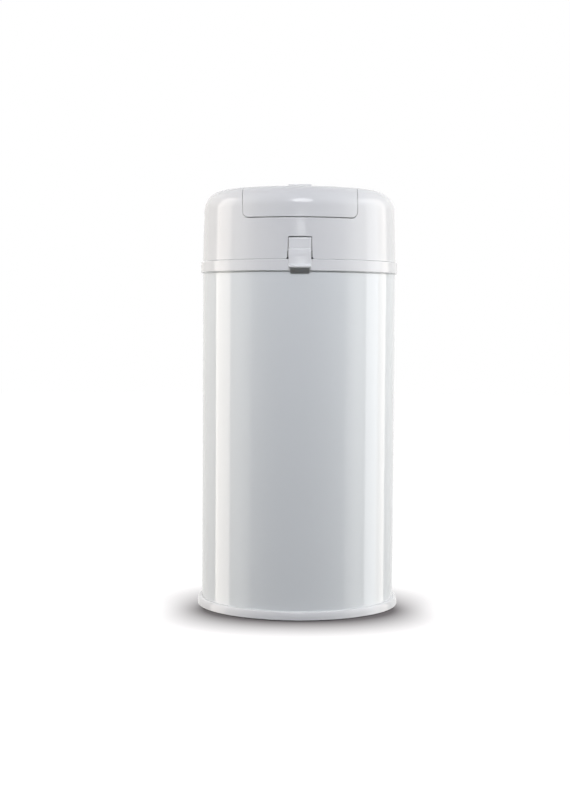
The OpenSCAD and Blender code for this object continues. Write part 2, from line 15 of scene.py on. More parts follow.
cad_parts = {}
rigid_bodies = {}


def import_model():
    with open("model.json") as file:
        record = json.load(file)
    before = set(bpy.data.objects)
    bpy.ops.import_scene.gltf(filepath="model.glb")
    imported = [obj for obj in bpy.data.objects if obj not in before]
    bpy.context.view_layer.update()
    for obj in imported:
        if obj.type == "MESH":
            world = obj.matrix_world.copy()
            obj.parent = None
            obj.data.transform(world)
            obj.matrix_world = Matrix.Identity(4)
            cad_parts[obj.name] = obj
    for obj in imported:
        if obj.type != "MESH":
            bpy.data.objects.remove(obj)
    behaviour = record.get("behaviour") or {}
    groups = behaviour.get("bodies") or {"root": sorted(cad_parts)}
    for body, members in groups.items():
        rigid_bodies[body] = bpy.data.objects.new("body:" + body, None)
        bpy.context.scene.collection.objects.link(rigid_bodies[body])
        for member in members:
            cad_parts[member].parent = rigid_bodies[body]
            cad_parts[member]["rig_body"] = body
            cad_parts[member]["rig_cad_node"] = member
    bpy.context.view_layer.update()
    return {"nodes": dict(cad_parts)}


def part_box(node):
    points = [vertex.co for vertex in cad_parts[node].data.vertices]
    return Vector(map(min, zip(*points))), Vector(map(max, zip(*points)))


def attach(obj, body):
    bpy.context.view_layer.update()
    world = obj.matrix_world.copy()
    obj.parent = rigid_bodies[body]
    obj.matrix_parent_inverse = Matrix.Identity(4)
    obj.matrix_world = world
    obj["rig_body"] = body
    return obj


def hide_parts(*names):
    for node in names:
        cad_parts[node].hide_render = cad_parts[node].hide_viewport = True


bl_info = {
    "name": "Nappy Bin",
    "version": (1, 0, 0),
    "blender": (4, 5, 0),
    "location": "View3D > Sidebar > Nappy Bin",
    "description": "Models a round steel nappy bin piece by piece, with finishes and a studio",
    "category": "Add Mesh",
}

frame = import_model()

MM = 0.001
TURN = 2 * math.pi
TUBE_STEPS = 256
SCREW_STEPS = 32
RIBS = 12
BASE_SCREWS = 6
SCREW_RING_R = 118  # of the circle on which the base screws stand, in millimetres
SCREW_HOLE_R = 1.85
PILOT_R = 1.2  # of the holes for the hinge's screws
ARC_STEP = math.radians(15)
FAR = 600.0  # beyond any face of the bin, in millimetres
WELD = 0.002 * MM  # points nearer than this are one point
SHARP = math.radians(38)  # edges that turn further than this are rounded
ON_CUT = 0.005  # points this near a cut's wall lie on it, in millimetres
SEAM_BESIDE, SEAM_BELOW = 0.4, 1.25  # the flap's seam there, in nominal widths
SIDES = (-1, 1)  # left and right
WHITE = (1, 1, 1)
SENSOR = 36  # width of the camera's sensor, in millimetres
FINISH = "_finish"  # ends the name of a material, after its slot
PALER = "pale_plastic"  # the gloss plastic of the collar and the latch, a shade lighter


# ---- sizes, finishes and studio ----


def form(make, **fixed):
    """A short form for the properties of one kind."""
    return lambda name, description, default: make(
        name=name, description=description, default=default, **fixed
    )


length = form(FloatProperty, unit="LENGTH", subtype="DISTANCE")
colour = form(FloatVectorProperty, size=3, min=0, max=1, subtype="COLOR")
share = form(FloatProperty, min=0, max=1, subtype="FACTOR")
turn = form(FloatProperty, subtype="ANGLE")
power = form(FloatProperty, min=0, unit="POWER")
number = form(FloatProperty)


class BinSizes(bpy.types.PropertyGroup):
    """Sizes of the steel tube, the base and the collar"""

    tube_r: length("Tube radius", "Outer radius of the steel tube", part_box("body_tube")[1].x)
    tube_z0: length("Tube foot", "Height of the tube's lower edge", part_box("body_tube")[0].z)
    tube_z1: length("Tube rim", "Height of the tube's upper edge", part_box("body_tube")[1].z)
    steel: length("Sheet", "Thickness of the steel sheet", 0.8 * MM)
    hem_r: length("Hem", "Inner radius of the hem turned in under the floor", 113 * MM)
    base_r: length("Base radius", "Outer radius of the base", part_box("base_moulding")[1].x)
    base_z0: length("Base underside", "Height of its lower face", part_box("base_moulding")[0].z)
    base_z1: length("Base lip", "Height of the base's upper edge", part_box("base_moulding")[1].z)
    collar_r: length("Collar radius", "Outer radius of the collar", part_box("collar")[1].x)
    collar_z0: length("Collar foot", "Height of the collar band's lower edge", 448.8 * MM)
    collar_z1: length("Collar top", "Height of the collar's upper edge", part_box("collar")[1].z)


class HeadSizes(bpy.types.PropertyGroup):
    """Sizes of the domed head, its flap and its latch"""

    height: length("Height", "Height of the middle of the head above the floor", 560 * MM)
    foot_r: length("Foot radius", "Outer radius of the head's lower edge", 130.3 * MM)
    foot_z: length("Foot", "Height of the head's lower edge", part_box("head_shell")[0].z)
    side_r: length("Side radius", "Outer radius where the shoulder begins", 128.5 * MM)
    shoulder: length("Shoulder", "Radius of the rounded shoulder", 27 * MM)
    crown: length("Crown", "How far the top rises towards its middle", 1.6 * MM)
    wall: length("Wall", "Thickness of the head and of the flap", 2.6 * MM)
    flap_half: length("Flap half width", "Half the flap's width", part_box("flap_cover")[1].x)
    flap_z: length("Flap foot", "Height of the flap's lower edge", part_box("flap_cover")[0].z)
    flap_corner: length("Flap corner", "Radius of the flap's lower corners", 8 * MM)
    gap: length("Seam", "Nominal width of the seam round the flap", 0.8 * MM)
    hinge_y: length("Hinge depth", "How far the flap's hinge is behind the middle", 44 * MM)
    hinge_z: length("Hinge height", "Height of the flap's hinge", 554.405 * MM)
    lever_half: length("Latch half width", "Half the latch's width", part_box("latch_lever")[1].x)
    edge: length("Edge", "Width of the rounding along the seams", 0.5 * MM)


class Finishes(bpy.types.PropertyGroup):
    """Colours and gloss of the bin's materials"""

    steel_colour: colour("Powder coat", "Colour of the coated tube", (0.785, 0.815, 0.83))
    plastic_colour: colour("Gloss plastic", "Colour of the outer mouldings", (0.783, 0.791, 0.802))
    inner_colour: colour("Matt plastic", "Colour of the inner mouldings", (0.74, 0.74, 0.72))
    rubber_colour: colour("Rubber", "Colour of seals and foot", (0.12, 0.125, 0.135))
    zinc_colour: colour("Zinc", "Colour of screws, pins and spring", (0.60, 0.61, 0.63))
    steel_rough: share("Powder coat roughness", "How blurred its reflections are", 0.055)
    plastic_rough: share("Gloss plastic roughness", "How blurred its reflections are", 0.11)


class Studio(bpy.types.PropertyGroup):
    """Camera and lamps"""

    camera_y: length("Camera distance", "How far the camera stands in front", 2.08105)
    camera_z: length("Camera height", "Height of the camera", 0.38446)
    camera_aside: turn("Camera aside", "How far to the right it stands", math.radians(0.35))
    camera_tilt: turn("Camera tilt", "How far the camera looks down", math.radians(2.9447))
    camera_roll: turn("Camera roll", "How far the camera leans over", math.radians(0.3633))
    lens: number("Lens", "Focal length in millimetres", 68.9)
    shift_x: number("Shift", "Sideways shift of the picture", -0.0167)
    left: power("Left panel", "Power of the tall panel on the left", 11.3)
    left_rear: power("Left rear", "Power of the panel behind it", 11.0)
    left_fade: power("Left fade", "Power of the fading panels before it", 8.5)
    right: power("Right panel", "Power of the tall panel on the right", 16.4)
    right_rear: power("Right rear", "Power of the panel behind it", 10.5)
    right_fade: power("Right fade", "Power of the fading panels before it", 10.1)
    front: power("Front panel", "Power of the round panel in front, above the camera", 20.8)
    gleam: power("Gleam", "Power of the panel that only mirrors show", 12)
    high: power("High panel", "Power of the panel high in front", 7)
    streak: power("Streak", "Power of the slot light beside the camera", 0.42)
    ambient: number("Ambient", "Brightness of the room's even light", 0.05)


class Millimetres:
    """Reads the lengths of a property group in millimetres."""

    def __init__(self, group):
        self.group = group

    def __getattr__(self, name):
        return getattr(self.group, name) / MM


# ---- outlines ----


def outline(*corners, closed=True):
    """Points through corners (a, b) or (a, b, radius), with each radius drawn as an arc."""
    points = []
    last = len(corners) - 1
    for i, (a, b, *rest) in enumerate(corners):
        here = Vector((a, b))
        radius = rest[0] if rest else 0
        if not radius or (not closed and i in (0, last)):
            points.append(here)
            continue
        back = (Vector(corners[i - 1][:2]) - here).normalized()
        ahead = (Vector(corners[(i + 1) % len(corners)][:2]) - here).normalized()
        half = back.angle(ahead) / 2
        centre = here + (back + ahead).normalized() * radius / math.sin(half)
        spoke = here + back * radius / math.tan(half) - centre
        sweep = math.copysign(math.pi - 2 * half, back.cross(ahead))
        count = max(3, round(abs(sweep) / ARC_STEP))
        for k in range(count + 1):
            spin = -sweep * k / count
            points.append(centre + Matrix.Rotation(spin, 2) @ spoke)
    return points


def both_sides(*left):
    """A closed outline from the corners of its left side and their mirror images."""
    return outline(*left, *((-a, *rest) for a, *rest in reversed(left)))


def dome(head, inset, z0, shoulder_steps=20, crown_steps=10):
    """The head's profile from height z0 up to the middle, drawn in by inset."""
    flat = head.side_r - head.shoulder
    shoulder_z = head.height - head.crown - head.shoulder
    taper = (head.foot_r - head.side_r) / (shoulder_z - head.foot_z)
    points = []
    if z0 < shoulder_z:
        points.append((head.foot_r - taper * (z0 - head.foot_z) - inset, z0))
    for k in range(shoulder_steps + 1):
        spin = math.pi / 2 * k / shoulder_steps
        reach = head.shoulder - inset
        points.append((flat + reach * math.cos(spin), shoulder_z + reach * math.sin(spin)))
    for k in range(crown_steps - 1, -1, -1):
        rise = head.crown * (k / crown_steps) ** 2
        points.append((flat * k / crown_steps, head.height - inset - rise))
    return points


def gap_to(points, a, b):
    """Distance from a point to a closed outline."""
    here = Vector((a, b))
    best = FAR
    for i, start in enumerate(points):
        step = start - points[i - 1]
        share_along = (here - points[i - 1]).dot(step) / step.length_squared
        nearest = points[i - 1] + step * min(1, max(0, share_along))
        best = min(best, (here - nearest).length)
    return best


# ---- modelling ----


def deselect():
    bpy.ops.object.select_all(action="DESELECT")


def only(piece):
    """Makes a piece the active and only selected object."""
    deselect()
    piece.hide_viewport = False
    piece.select_set(True)
    bpy.context.view_layer.objects.active = piece


def copy_of(piece):
    only(piece)
    bpy.ops.object.duplicate()
    return bpy.context.object


class editing:
    """Edit mode on one piece, where faces, edges and points are picked by their place."""

    def __init__(self, piece):
        self.piece = piece

    def __enter__(self):
        only(self.piece)
        bpy.ops.object.mode_set(mode="EDIT")
        return self

    def __exit__(self, *error):
        bpy.ops.object.mode_set(mode="OBJECT")

    def pick(self, kind, wanted):
        """Selects the elements for which wanted is true, and returns how many there are."""
        bpy.ops.mesh.select_mode(type=kind)
        bpy.ops.mesh.select_all(action="DESELECT")
        mesh = bmesh.from_edit_mesh(self.piece.data)
        found = 0
        for element in {"VERT": mesh.verts, "EDGE": mesh.edges, "FACE": mesh.faces}[kind]:
            if wanted(element):
                element.select_set(True)
                found += 1
        bmesh.update_edit_mesh(self.piece.data)
        return found

    def pick_all(self):
        bpy.ops.mesh.select_all(action="SELECT")

    def move(self, x, y, z):
        bpy.ops.transform.translate(value=(x * MM, y * MM, z * MM))

    def weld(self):
        """Joins all points that meet."""
        self.pick_all()
        bpy.ops.mesh.remove_doubles(threshold=WELD)

    def close_up(self):
        """Joins what meets and turns every face outwards."""
        self.weld()
        bpy.ops.mesh.normals_make_consistent(inside=False)


PLANES = {
    "XZ": lambda a, b: Vector((a, 0, b)),
    "YZ": lambda a, b: Vector((0, a, b)),
    "XY": lambda a, b: Vector((a, b, 0)),
}


def wire(name, points, plane):
    """A chain of edges along an outline, begun as a plane that is merged to one point."""
    deselect()
    bpy.ops.mesh.primitive_plane_add(size=MM)
    piece = bpy.context.object
    piece.name = piece.data.name = name
    places = [PLANES[plane](*point) for point in points]
    with editing(piece) as shape:
        bpy.ops.mesh.select_mode(type="VERT")
        shape.pick_all()
        bpy.ops.mesh.merge(type="CENTER")
        shape.pick_all()
        shape.move(*places[0])
        for here, there in zip(places, places[1:]):
            step = (there - here) * MM
            bpy.ops.mesh.extrude_region_move(TRANSFORM_OT_translate={"value": step})
    return piece


def lathe(name, points, steps=TUBE_STEPS):
    """An outline (radius, height) spun once round the bin's axis. An open one ends on the axis."""
    on_axis = min(points[0][0], points[-1][0]) < 1e-6
    piece = wire(name, points if on_axis else [*points, points[0]], "XZ")
    with editing(piece) as shape:
        shape.weld()
        bpy.ops.mesh.spin(steps=steps, angle=TURN, center=(0, 0, 0), axis=(0, 0, 1))
        shape.close_up()
    return piece


def prism(points, plane, start, end):
    """A closed outline filled and drawn out across its plane, from start to end, as a tool."""
    piece = wire("tool", [*points, points[0]], plane)
    across = {"XZ": (0, 1, 0), "YZ": (1, 0, 0), "XY": (0, 0, 1)}[plane]
    with editing(piece) as shape:
        shape.weld()
        shape.move(*(start * part for part in across))
        bpy.ops.mesh.edge_face_add()
        reach = Vector(across) * (end - start) * MM
        bpy.ops.mesh.extrude_region_move(TRANSFORM_OT_translate={"value": reach})
        shape.close_up()
    return piece


def rod(radius, plane, at, start, end, steps=32):
    """A round bar across a plane, as a tool."""
    circle = [
        Vector(at) + radius * Vector((math.cos(TURN * k / steps), math.sin(TURN * k / steps)))
        for k in range(steps)
    ]
    return prism(circle, plane, start, end)


def join(pieces):
    """Joins pieces into the first of them."""
    deselect()
    for piece in pieces:
        piece.select_set(True)
    bpy.context.view_layer.objects.active = pieces[0]
    bpy.ops.object.join()
    return pieces[0]


def modify(piece, kind, **settings):
    """Gives a piece a modifier and applies it."""
    only(piece)
    bpy.ops.object.modifier_add(type=kind)
    change = piece.modifiers[-1]
    for name, value in settings.items():
        setattr(change, name, value)
    bpy.ops.object.modifier_apply(modifier=change.name)


def combine(piece, operation, *tools):
    """Adds, cuts out or intersects a piece with tools, which are used up."""
    tool = join(tools)
    modify(piece, "BOOLEAN", operation=operation, solver="EXACT", object=tool)
    bpy.data.objects.remove(tool)


def cut(piece, *tools):
    combine(piece, "DIFFERENCE", *tools)


def ring_of(count, first):
    """A tool and its copies round the bin's axis, each turned on from the last."""
    tools = [first]
    for k in range(1, count):
        copy = copy_of(first)
        with editing(copy) as shape:
            shape.pick_all()
            bpy.ops.transform.rotate(
                value=-TURN * k / count, orient_axis="Z", center_override=(0, 0, 0)
            )
        tools.append(copy)
    return tools


def pair(radius, x, z, start, end, steps=32):
    """Two rods from front to rear, left and right."""
    return [rod(radius, "XZ", (x * side, z), start, end, steps) for side in SIDES]


def screw_holes(radius, z0, z1):
    """Tools for the base screws' holes, between two heights."""
    return ring_of(BASE_SCREWS, rod(radius, "XY", (SCREW_RING_R, 0), z0, z1, 24))


def clean_cut(piece, reach, slack=0.45):
    """Clears the slivers beside a cut. reach gives a place's distance from the cut's wall."""
    with editing(piece) as shape:
        if shape.pick("VERT", lambda v: ON_CUT < reach(v.co / MM) < slack):
            bpy.ops.mesh.dissolve_verts()
        shape.pick("VERT", lambda v: reach(v.co / MM) <= ON_CUT)
        bpy.ops.mesh.remove_doubles(threshold=slack * MM)


def soften(piece, width, segments=3, skip=None):
    """Rounds the sharp edges of a piece outside the places to skip, and shades its faces."""
    with editing(piece) as shape:
        shape.pick("EDGE", lambda e: e.is_manifold and e.calc_face_angle() > SHARP and not (
            skip and any(skip(v.co / MM) for v in e.verts)
        ))
        bpy.ops.mesh.bevel(
            offset=width * MM, segments=segments, affect="EDGES", clamp_overlap=False
        )
    shade(piece)


def shade(piece, limit=math.radians(32)):
    """Smooth shading up to an angle, weighted so that broad faces stay true."""
    only(piece)
    bpy.ops.object.shade_smooth_by_angle(angle=limit)
    modify(piece, "WEIGHTED_NORMAL", keep_sharp=True)


def finish(piece, body, slot, *nodes, look=None):
    """Gives a piece its material, lets it ride on its body and puts it in the nodes' place."""
    piece.data.materials.clear()
    piece.data.materials.append(bpy.data.materials[(look or slot) + FINISH])
    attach(piece, body)
    if nodes:
        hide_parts(*nodes)


# ---- shader arithmetic ----


def arithmetic(operation, reflected=False):
    """An operator of Value that adds a Math node."""

    def operator(self, other):
        first, second = (other, self) if reflected else (self, other)
        return self.bench.maths(operation, first, second)

    return operator


class Value:
    """A socket's output, on which arithmetic adds Math nodes."""

    def __init__(self, bench, socket):
        self.bench = bench
        self.socket = socket

    __add__ = __radd__ = arithmetic("ADD")
    __mul__ = __rmul__ = arithmetic("MULTIPLY")
    __sub__ = arithmetic("SUBTRACT")
    __rsub__ = arithmetic("SUBTRACT", reflected=True)
    __truediv__ = arithmetic("DIVIDE")


class Bench:
    """Builds a node tree, of a material or of the world."""

    def __init__(self, owner):
        owner.use_nodes = True
        self.tree = owner.node_tree
        self.tree.nodes.clear()

    def add(self, kind, sockets=(), output=0, **settings):
        """Adds a node, sets it, and sets or links its sockets. Returns one of its outputs."""
        node = self.tree.nodes.new(kind)
        for name, value in settings.items():
            setattr(node, name, value)
        for name, value in dict(sockets).items():
            if isinstance(value, Value):
                self.tree.links.new(value.socket, node.inputs[name])
            else:
                node.inputs[name].default_value = value
        return Value(self, node.outputs[output]) if node.outputs else None

    def maths(self, operation, first, second=0.0):
        return self.add("ShaderNodeMath", {0: first, 1: second}, operation=operation)

    def close(self, shader, kind="Material"):
        self.add("ShaderNodeOutput" + kind, {"Surface": shader})

    def ray(self, kind):
        """1 where a ray of this kind sees the surface, else 0."""
        return self.add("ShaderNodeLightPath", output=f"Is {kind} Ray")

    def place(self):
        """Where a point of the surface lies on its object."""
        return self.add("ShaderNodeTexCoord", output="Object")

    def noise(self, size, detail=2.0, place=None):
        """Noise from 0 to 1 whose grains are about size millimetres across."""
        sockets = {"Vector": place or self.place(), "Scale": 1 / (size * MM), "Detail": detail}
        return self.add("ShaderNodeTexNoise", sockets)

    def stretched(self, x, y, z):
        """Places scaled on each axis."""
        return self.add("ShaderNodeMapping", {"Vector": self.place(), "Scale": (x, y, z)})

    def blend(self, amount, first, second):
        """A colour between two colours."""
        sockets = {0: amount, 6: as_colour(first), 7: as_colour(second)}
        return self.add("ShaderNodeMix", sockets, 2, data_type="RGBA")

    def bump(self, height, depth, strength=1.0):
        """Normals of a relief depth millimetres deep."""
        sockets = {"Height": height, "Distance": depth * MM, "Strength": strength}
        return self.add("ShaderNodeBump", sockets)


def as_colour(value):
    return value if isinstance(value, Value) else (*tuple(value)[:3], 1)


def shaded(value, *factors):
    """A colour made lighter or darker by one factor, or by a factor for each channel."""
    return tuple(part * factor for part, factor in zip(value, factors * 3))


def surface(base, roughness, normal, **constants):
    """Closes a material with one Principled shader."""
    sockets = {"Base Color": base, "Roughness": roughness, "Normal": normal, **constants}
    base.bench.close(base.bench.add("ShaderNodeBsdfPrincipled", sockets))


def new_bench(slot):
    return Bench(bpy.data.materials.new(slot + FINISH))


def powder_coat(looks):
    """Gloss white powder coat: an even sheet with a faint orange peel and slight cloudiness."""
    bench = new_bench("painted_steel")
    clouds = bench.noise(70, 3)
    tone = bench.blend(clouds, shaded(looks.steel_colour, 0.985), looks.steel_colour)
    roughness = looks.steel_rough - 0.02 + bench.noise(18, 3) * 0.04
    relief = bench.noise(1.3, 1) + bench.noise(4.5, 1) * 0.8
    surface(tone, roughness, bench.bump(relief, 0.003))


def gloss_plastic(looks, name="white_plastic", paler=1.0):
    """Gloss moulded plastic with faint flow clouds, fine haze and the odd wiped smear."""
    bench = new_bench(name)
    flow = bench.noise(45, 4, bench.stretched(1, 1, 0.4))
    clear = shaded(looks.plastic_colour, paler)
    tone = bench.blend(flow, shaded(clear, 0.982), clear)
    smear = bench.noise(26, 5, bench.stretched(1, 1, 3))
    roughness = looks.plastic_rough - 0.035 + smear * 0.07
    relief = bench.noise(0.7, 2) * 0.4 + bench.noise(6, 1)
    surface(tone, roughness, bench.bump(relief, 0.004), **{"Specular IOR Level": 0.3})


def matt_plastic(looks):
    """Matt moulded plastic with a fine spark-eroded grain."""
    bench = new_bench("inner_plastic")
    flow = bench.noise(30, 4)
    tone = bench.blend(flow, shaded(looks.inner_colour, 0.95), looks.inner_colour)
    grain = bench.noise(0.55, 3)
    roughness = 0.42 + grain * 0.14 + bench.noise(22, 3) * 0.06
    surface(tone, roughness, bench.bump(grain, 0.05, 0.6))


def soft_rubber(looks):
    """Grey rubber, dull, with a bloom that lies unevenly on it."""
    bench = new_bench("seal_rubber")
    bloom = bench.noise(9, 5)
    tone = bench.blend(bloom, looks.rubber_colour, shaded(looks.rubber_colour, 1.7))
    grain = bench.noise(0.4, 3)
    roughness = 0.62 + bloom * 0.2
    surface(tone, roughness, bench.bump(grain, 0.04, 0.5))


def zinc_plate(looks):
    """Zinc plated steel: bright, brushed by its making, with a faint blue and straw passivation."""
    bench = new_bench("screw_steel")
    tint = bench.noise(3, 3)
    blue = shaded(looks.zinc_colour, 0.94, 0.99, 1.07)
    straw = shaded(looks.zinc_colour, 1.05, 1.0, 0.9)
    tone = bench.blend(tint, blue, straw)
    brushing = bench.noise(0.25, 2, bench.stretched(0.15, 1, 1))
    roughness = 0.26 + brushing * 0.18
    surface(tone, roughness, bench.bump(brushing, 0.006), Metallic=1.0)


# ---- operators ----


class Maker(bpy.types.Operator):
    """Shared by every operator of the bin"""

    bl_options = {"REGISTER", "UNDO"}

    @property
    def bin(self):
        return Millimetres(bpy.context.scene.nappy_bin_sizes)

    @property
    def head(self):
        return Millimetres(bpy.context.scene.nappy_bin_head)

    def execute(self, context):
        self.make()
        return {"FINISHED"}


class NAPPY_BIN_OT_finishes(Maker):
    """Mix the materials of the bin"""

    bl_idname = "nappy_bin.finishes"
    bl_label = "Mix Finishes"

    def make(self):
        looks = bpy.context.scene.nappy_bin_finishes
        for mix in (powder_coat, gloss_plastic, matt_plastic, soft_rubber, zinc_plate):
            mix(looks)
        gloss_plastic(looks, PALER, 1.045)


class NAPPY_BIN_OT_tube(Maker):
    """Spin the steel tube with its hem, and raise the weld down its back"""

    bl_idname = "nappy_bin.tube"
    bl_label = "Steel Tube"

    def make(self):
        b = self.bin
        weld_z0 = b.base_z1 + 0.8
        weld_z1 = b.collar_z0 - 3.4
        neck = b.tube_r - 1.2
        neck_z0 = b.collar_z0 - 1.6
        inner = b.tube_r - b.steel
        tube = lathe(
            "tube_wall",
            outline(
                (b.hem_r, b.tube_z0, 0.3), (b.tube_r, b.tube_z0, 1.6), (b.tube_r, weld_z0),
                (b.tube_r, weld_z1), (b.tube_r, neck_z0, 0.4), (neck, neck_z0 + 0.3, 0.2),
                (neck, b.collar_z0 + 0.6, 0.3), (b.tube_r, b.collar_z0 + 1.2, 0.4),
                (b.tube_r, b.tube_z1, 0.3), (inner, b.tube_z1, 0.3),
                (inner, b.collar_z0 + 1.8, 0.4), (neck - b.steel, b.collar_z0 + 1.0, 0.3),
                (neck - b.steel, neck_z0 - 0.1, 0.3), (inner, neck_z0 - 0.6, 0.4),
                (inner, b.tube_z0 + b.steel, 0.9), (b.hem_r, b.tube_z0 + b.steel, 0.3),
            ),
        )
        with editing(tube) as shape:
            width = b.tube_r * math.sin(1.5 * TURN / TUBE_STEPS)
            shape.pick(
                "FACE",
                lambda f: f.calc_center_median().y > (b.tube_r - 0.3) * MM
                and abs(f.calc_center_median().x) < width * MM
                and f.calc_area() > 100 * MM * MM,
            )
            bpy.ops.mesh.inset(thickness=1.6 * MM, depth=0.24 * MM)
        cut(tube, *screw_holes(SCREW_HOLE_R, b.tube_z0 - 3, b.tube_z0 + 3))
        shade(tube)
        finish(tube, "bin", "painted_steel", "body_tube")


class NAPPY_BIN_OT_base(Maker):
    """Spin the base ring, and cut the pockets between its ribs and the screws' counterbores"""

    bl_idname = "nappy_bin.base"
    bl_label = "Base"

    def make(self):
        b = self.bin
        seat = b.tube_r + 0.05
        foot_r, floor_z = b.base_r - 0.6, 5
        inner, outer, top = 123.8, 131.2, 2.8  # the groove of the foot ring
        base = lathe(
            "base_ring",
            outline(
                (0, b.base_z0), (inner, b.base_z0, 0.3), (inner, top), (outer, top),
                (outer, b.base_z0, 0.3), (foot_r, b.base_z0, 0.7), (b.base_r - 0.9, 7.5, 14),
                (133.6, b.base_z1, 3.0), (seat, b.base_z1, 0.2), (seat, floor_z), (0, floor_z),
                closed=False,
            ),
        )
        pocket = outline((26, 7, 2), (107, 7, 3), (92.5, 52.5, 3), (25, 13.4, 2))
        cut(base, *ring_of(RIBS, prism(pocket, "XY", -1, 3.4)))
        for radius, depth in ((4.2, 3.2), (SCREW_HOLE_R, 8)):
            cut(base, *screw_holes(radius, -1, depth))
        shade(base)
        finish(base, "bin", "white_plastic", "base_moulding")
        foot = lathe(
            "foot_ring_pad",
            outline((124, 0, 0.8), (131, 0, 0.8), (131, 2.7, 0.3), (124, 2.7, 0.3)),
        )
        shade(foot)
        finish(foot, "bin", "seal_rubber", "foot_ring")


class NAPPY_BIN_OT_collar(Maker):
    """Spin the collar band with its recess and skirt, and add the bag ring's lugs"""

    bl_idname = "nappy_bin.collar"
    bl_label = "Collar"

    def make(self):
        b = self.bin
        top, under = b.collar_z1, b.collar_z1 - 2.8
        ledge = b.collar_z0 + 2.2
        seat = b.tube_r + 0.2
        recess, ring_seat = 118, 109
        inner, outer, foot = 126.3, 127.8, 437  # the skirt inside the tube
        collar = lathe(
            "collar_band",
            outline(
                (seat, b.collar_z0, 0.4), (b.collar_r, b.collar_z0, 0.5), (b.collar_r, top, 1.2),
                (recess, top, 0.7), (recess, ledge, 0.6), (ring_seat, ledge, 0.6),
                (ring_seat, ledge - 2, 0.6), (120.2, ledge - 2, 0.8), (120.2, under, 0.5),
                (inner, under, 0.5), (inner, foot, 0.5), (outer, foot, 0.5),
                (outer, under, 0.3), (seat, under, 0.3),
            ),
        )
        lug = outline(
            (109.5, ledge - 0.1), (117.6, ledge - 0.1), (117.6, 457, 1), (109.5, 457, 1.5)
        )
        lugs = [prism(lug, "YZ", 16.4 * side, 20.4 * side) for side in SIDES]
        combine(collar, "UNION", *lugs)
        cut(collar, rod(1.55, "YZ", (113, 453.8), -30, 30))
        cut(collar, *pair(PILOT_R, 22, 454, 120, 140, 24))
        shade(collar)
        finish(collar, "bin", "white_plastic", "collar", look=PALER)


def flap_outline(head, grow):
    """Front view of the flap, or of its opening where grow is the seam's nominal width."""
    half = head.flap_half + grow * SEAM_BESIDE
    foot = head.flap_z - grow * SEAM_BELOW
    corner = head.flap_corner + grow
    return both_sides((-half, FAR), (-half, foot, corner))


class NAPPY_BIN_OT_head(Maker):
    """Spin the domed head, and cut the flap's opening and the latch's notch"""

    bl_idname = "nappy_bin.head"
    bl_label = "Head"

    tray_rear = 50.6
    notch_half = 14.95
    notch_top = 492.2
    slot_half = 18.6
    slot_r = 128.4

    def make(self):
        h = self.head
        lip = h.foot_z + 2.9
        inner = dome(h, h.wall, lip + 2.2)
        outer = dome(h, 0, h.foot_z + 0.6)
        shell = lathe(
            "head_dome",
            outline(
                *reversed(inner), (118.5, lip + 2.2, 0.4), (118.5, lip, 0.4), (inner[0][0], lip),
                (h.foot_r - h.wall, h.foot_z, 0.3), (h.foot_r, h.foot_z, 0.5), *outer,
                closed=False,
            ),
        )
        posts = [
            rod(4, "XY", at, h.height - 7.6, h.height - h.wall + 0.2)
            for at in ((-88, -45), (88, -45), (-88, 25), (88, 25), (-35, 66), (35, 66))
        ]
        posts += pair(3.6, 25.5, 481.2, -125.8, -121.6) + pair(3.6, 18, 480, 123, 127)
        combine(shell, "UNION", *posts)

        side = self.slot_half
        slot = outline((-side, lip - 1), (side, lip - 1), (side, lip + 4), (-side, lip + 4))
        cut(shell, prism(slot, "XZ", -126, -100))
        cut(shell, *pair(PILOT_R, 18, 480, 120, 140, 24))

        rear = self.tray_rear
        opening = flap_outline(h, h.gap)
        cut(shell, prism(opening, "XZ", -FAR, rear))
        half, foot = self.notch_half, h.foot_z
        notch = outline(
            (-half - 3.0, foot - 1), (half + 3.0, foot - 1), (half + 1.7, foot + 1.4),
            (half + 1.1, foot + 3.4), (half, self.notch_top, 0.8), (-half, self.notch_top, 0.8),
            (-half - 1.1, foot + 3.4), (-half - 1.7, foot + 1.4),
        )
        cut(shell, prism(notch, "XZ", -FAR, -100))

        def from_opening(p):
            if p.y > rear + 1 or p.z < h.flap_z - 2:
                return FAR
            if p.y > rear - 1 and abs(p.x) < h.flap_half:
                return abs(p.y - rear)
            return gap_to(opening, p.x, p.z)

        def from_notch(p):
            return gap_to(notch, p.x, p.z) if p.y < -100 else FAR

        def in_slot(p):
            inside = p.y < -100 and p.xy.length < self.slot_r
            return inside and abs(p.x) < side + 2 and lip - 2 < p.z < lip + 5

        clean_cut(shell, from_opening)
        clean_cut(shell, from_notch)
        soften(shell, h.edge, skip=in_slot)
        finish(shell, "head", "white_plastic", "head_shell")


